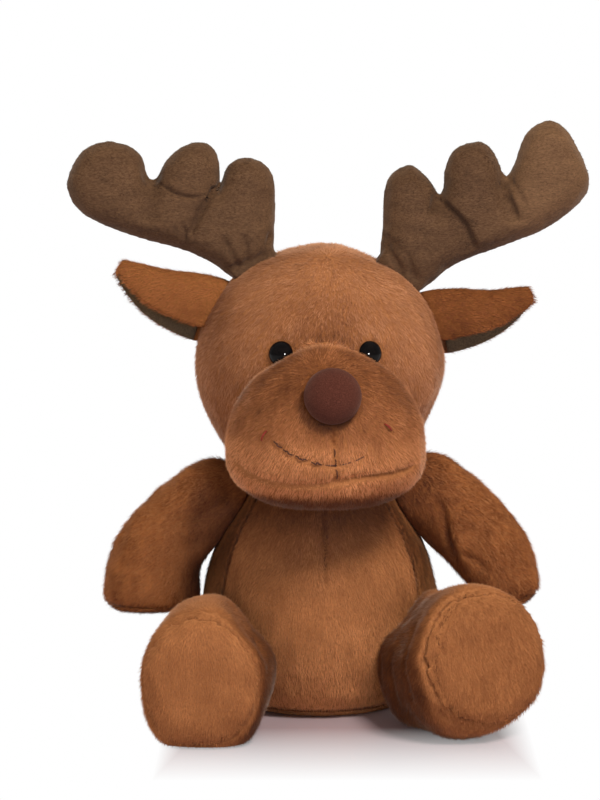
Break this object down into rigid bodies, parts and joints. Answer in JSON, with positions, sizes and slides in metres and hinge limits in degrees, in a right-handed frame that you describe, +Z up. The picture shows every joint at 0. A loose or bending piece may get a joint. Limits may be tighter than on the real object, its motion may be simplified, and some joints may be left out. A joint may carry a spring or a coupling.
{
  "type": "plush deer",
  "caption": "Seated plush deer with stuffed antlers, folded ears, a broad muzzle with a ball nose, safety eyes, limbs that lift and a head that turns.",
  "frame": {"origin": "centre of the underside of the flat seat panel, on the surface that the toy sits on", "axes": "+Z up, the toy faces -Y, +X to the right as seen from the front"},
  "size_m": [0.2706, 0.1949, 0.3066],
  "materials": {
    "plush_brown": "matte",
    "panel_brown": "matte",
    "muzzle_brown": "matte",
    "pad_brown": "matte",
    "antler_brown": "matte",
    "lining_brown": "matte",
    "bag_cream": "matte",
    "eye_black": "gloss",
    "nose_brown": "matte",
    "washer_white": "matte"
  },
  "bodies": {
    "torso": {"body": "plush_brown", "belly_panel": "panel_brown", "seat_panel": "panel_brown", "pellet_bag": "bag_cream", "tail": "plush_brown"},
    "head": {"head": "plush_brown", "muzzle": "muzzle_brown", "nose": "nose_brown", "nose_washer": "washer_white", "eye_left": "eye_black", "eye_right": "eye_black", "eye_washer_left": "washer_white", "eye_washer_right": "washer_white"},
    "arm_left": {"arm_left": "plush_brown", "paw_pad_left": "pad_brown"},
    "leg_left": {"leg_left": "plush_brown", "sole_left": "pad_brown"},
    "ear_left": {"ear_left": "plush_brown", "ear_lining_left": "lining_brown"},
    "antler_left": {"antler_left": "antler_brown"},
    "arm_right": {"arm_right": "plush_brown", "paw_pad_right": "pad_brown"},
    "leg_right": {"leg_right": "plush_brown", "sole_right": "pad_brown"},
    "ear_right": {"ear_right": "plush_brown", "ear_lining_right": "lining_brown"},
    "antler_right": {"antler_right": "antler_brown"}
  },
  "joints": [
    {"name": "neck_turn", "type": "hinge", "parent": "torso", "child": "head", "pos_m": [0, 0, 0.1225], "axis": [0, 0, 1], "range_deg": [-25, 25]},
    {"name": "shoulder_left_lift", "type": "hinge", "parent": "torso", "child": "arm_left", "pos_m": [-0.0345, 0, 0.122], "axis": [0, 1, 0], "range_deg": [0, 30]},
    {"name": "shoulder_right_lift", "type": "hinge", "parent": "torso", "child": "arm_right", "pos_m": [0.0345, 0, 0.122], "axis": [0, -1, 0], "range_deg": [0, 30]},
    {"name": "hip_left_lift", "type": "hinge", "parent": "torso", "child": "leg_left", "pos_m": [-0.047, -0.042, 0.062], "axis": [-1, 0, 0], "range_deg": [0, 30]},
    {"name": "hip_right_lift", "type": "hinge", "parent": "torso", "child": "leg_right", "pos_m": [0.041, -0.042, 0.062], "axis": [-1, 0, 0], "range_deg": [0, 30]},
    {"name": "ear_left_bend", "type": "hinge", "parent": "head", "child": "ear_left", "pos_m": [-0.05802, -0.00243, 0.21069], "axis": [-0.0419, 0.9991, 0], "range_deg": [-15, 15], "stiffness_Nm_per_rad": 0.01},
    {"name": "ear_right_bend", "type": "hinge", "parent": "head", "child": "ear_right", "pos_m": [0.06194, 0.0026, 0.20229], "axis": [0.0419, -0.9991, 0], "range_deg": [-15, 15], "stiffness_Nm_per_rad": 0.01},
    {"name": "antler_left_sway", "type": "hinge", "parent": "head", "child": "antler_left", "pos_m": [-0.03591, -0.00151, 0.23385], "axis": [0.8379, 0.0351, 0.5446], "range_deg": [-12, 12], "stiffness_Nm_per_rad": 0.06},
    {"name": "antler_right_sway", "type": "hinge", "parent": "head", "child": "antler_right", "pos_m": [0.04283, 0.00179, 0.22868], "axis": [0.7597, 0.0318, -0.6494], "range_deg": [-12, 12], "stiffness_Nm_per_rad": 0.06}
  ]
}
